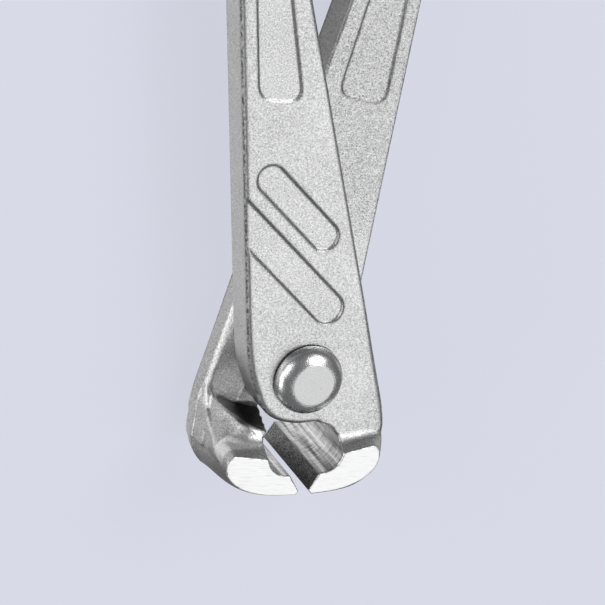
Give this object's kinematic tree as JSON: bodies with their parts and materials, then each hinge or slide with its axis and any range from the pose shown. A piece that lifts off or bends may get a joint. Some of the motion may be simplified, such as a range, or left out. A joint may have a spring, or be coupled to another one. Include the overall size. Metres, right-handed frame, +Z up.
{
  "type": "concreters nippers",
  "caption": "End-cutting concreters' nippers: crossed forged levers on a domed rivet, wide blunt jaws round an oval throat, and long cranked handles with plastic sleeves.",
  "frame": {"origin": "on the pivot axis, at the centre of the rear rivet head's flat, which lies on the bench", "axes": "+Z up along the pivot axis towards the front lever, +Y from the pivot to the handles, jaws at -Y, +X to the front lever's jaw"},
  "size_m": [0.0868, 0.2987, 0.026],
  "materials": {
    "front_lever_zinc": "zinc plated forging, blasted, jaws ground bright",
    "rear_lever_zinc": "zinc plated forging, blasted, jaws ground bright",
    "rivet_steel": "pressed dome, smooth, with a matt flat",
    "front_grip_plastic": "dipped plastic, satin",
    "rear_grip_plastic": "dipped plastic, satin"
  },
  "bodies": {
    "rear_half": {"rear_lever": "rear_lever_zinc", "rear_grip": "rear_grip_plastic", "pivot_rivet": "rivet_steel"},
    "front_half": {"front_lever": "front_lever_zinc", "front_grip": "front_grip_plastic"}
  },
  "joints": [
    {"name": "jaw_pivot", "type": "hinge", "parent": "rear_half", "child": "front_half", "pos_m": [0, 0, 0.013], "axis": [0, 0, 1], "range_deg": [-5.1, 40]}
  ]
}
